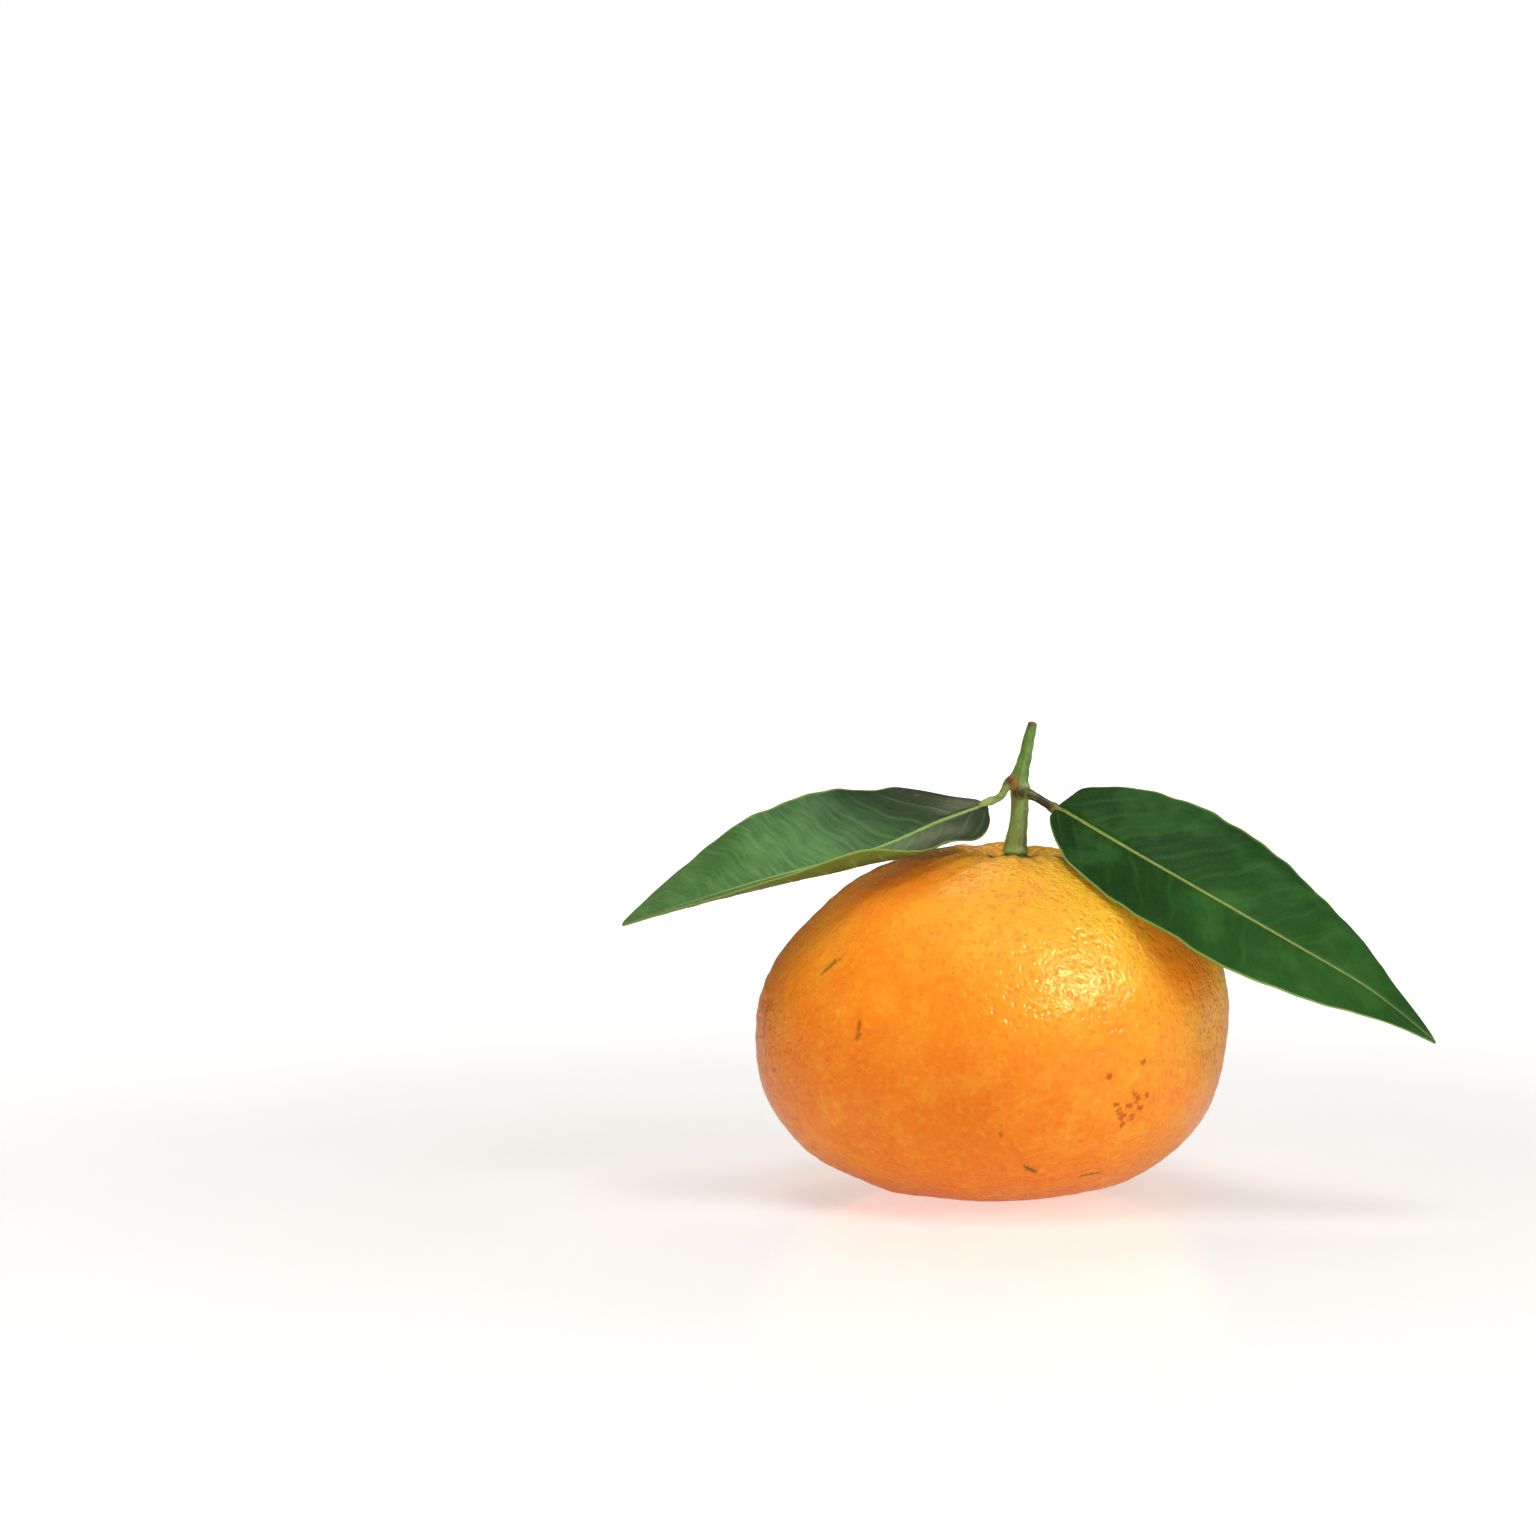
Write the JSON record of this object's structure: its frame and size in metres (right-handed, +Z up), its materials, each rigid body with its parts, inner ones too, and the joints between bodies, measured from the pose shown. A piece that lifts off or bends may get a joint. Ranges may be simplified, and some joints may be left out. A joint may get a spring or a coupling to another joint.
{
  "type": "clementine",
  "caption": "Whole fresh clementine: flattened orange globe with a dimpled stem end, a calyx, a short green twig and leaves on short stalks.",
  "frame": {"origin": "middle of the small flat spot that the fruit stands on", "axes": "+Z up along the fruit's height, +X towards the longer, right-hand leaf, +Y away from the side that both leaves lean to"},
  "size_m": [0.1001, 0.0598, 0.0603],
  "materials": {
    "peel": "waxy satin peel with fine oil-gland pits",
    "calyx": "dry matt green",
    "stem": "smooth green bark with brown streaks",
    "petiole": "smooth green",
    "leaf": "glossy above, paler and matt below"
  },
  "bodies": {
    "root": {"fruit": "peel", "calyx": "calyx", "stem": "stem", "petiole_left": "petiole", "petiole_right": "petiole", "leaf_left": "leaf", "leaf_right": "leaf"}
  },
  "joints": []
}
